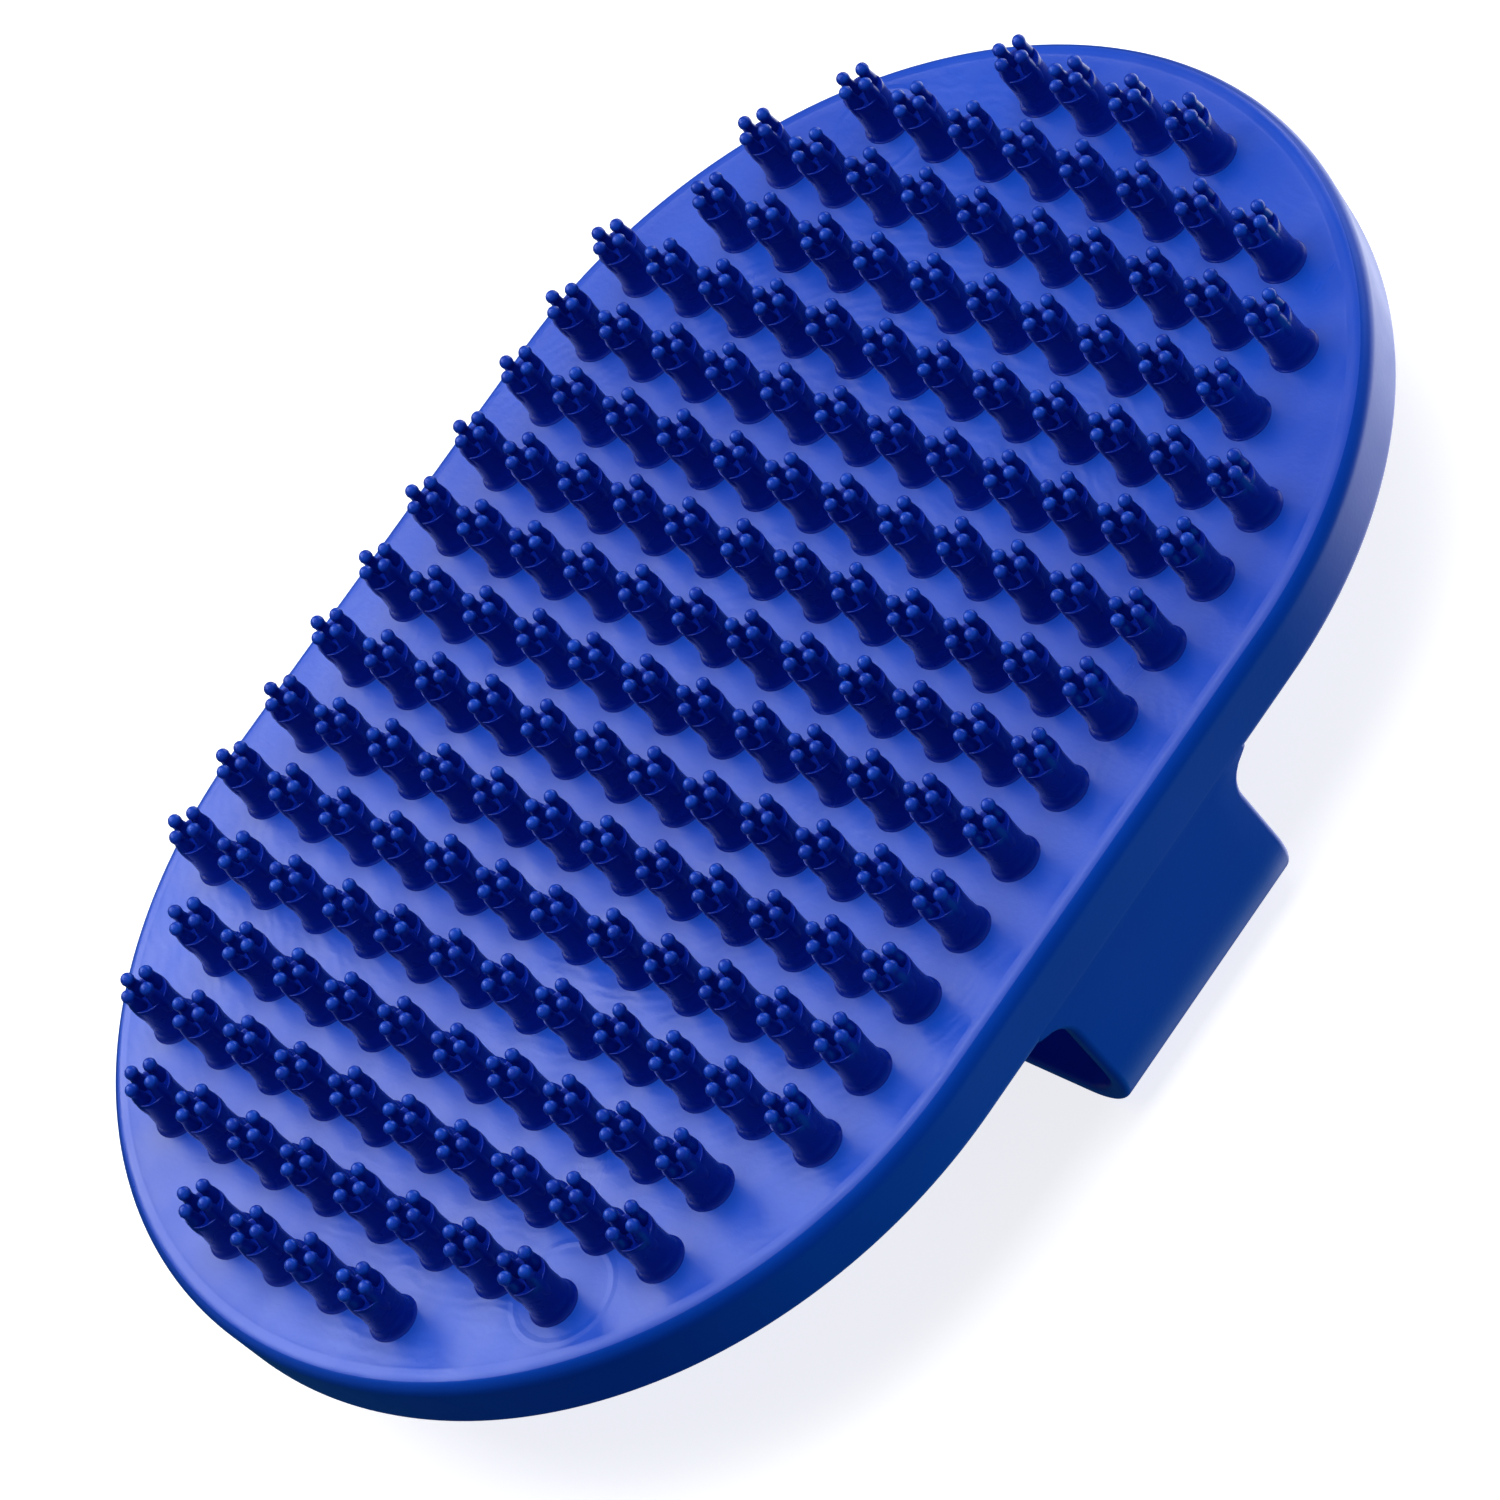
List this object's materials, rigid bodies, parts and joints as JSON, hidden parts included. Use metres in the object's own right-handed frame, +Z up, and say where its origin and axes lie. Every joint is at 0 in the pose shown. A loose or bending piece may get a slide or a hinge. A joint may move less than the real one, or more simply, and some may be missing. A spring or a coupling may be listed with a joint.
{
  "type": "rubber curry brush",
  "caption": "Oval palm-held rubber grooming brush: a flexible pad with rows of four-pronged teeth on one face and an arched hand strap across the back.",
  "frame": {"origin": "middle of the strap crown's outer face, on the surface that the brush rests on, under the middle of the pad", "axes": "+X across the pad, the way the strap runs; +Y along the pad; +Z up, from the strap's crown towards the tooth tips"},
  "size_m": [0.0866, 0.1282, 0.0287],
  "materials": {
    "pad_rubber": "satin moulded rubber, royal blue",
    "strap_rubber": "satin moulded rubber, royal blue",
    "tooth_rubber": "satin moulded rubber, royal blue"
  },
  "bodies": {
    "root": {"face_plate": "pad_rubber", "rim_wall": "pad_rubber", "hand_strap": "strap_rubber", "tooth_row_01": "tooth_rubber", "tooth_row_02": "tooth_rubber", "tooth_row_03": "tooth_rubber", "tooth_row_04": "tooth_rubber", "tooth_row_05": "tooth_rubber", "tooth_row_06": "tooth_rubber", "tooth_row_07": "tooth_rubber", "tooth_row_08": "tooth_rubber", "tooth_row_09": "tooth_rubber", "tooth_row_10": "tooth_rubber", "tooth_row_11": "tooth_rubber", "tooth_row_12": "tooth_rubber", "tooth_row_13": "tooth_rubber", "tooth_row_14": "tooth_rubber", "tooth_row_15": "tooth_rubber", "tooth_row_16": "tooth_rubber", "tooth_row_17": "tooth_rubber", "tooth_row_18": "tooth_rubber"}
  },
  "joints": []
}
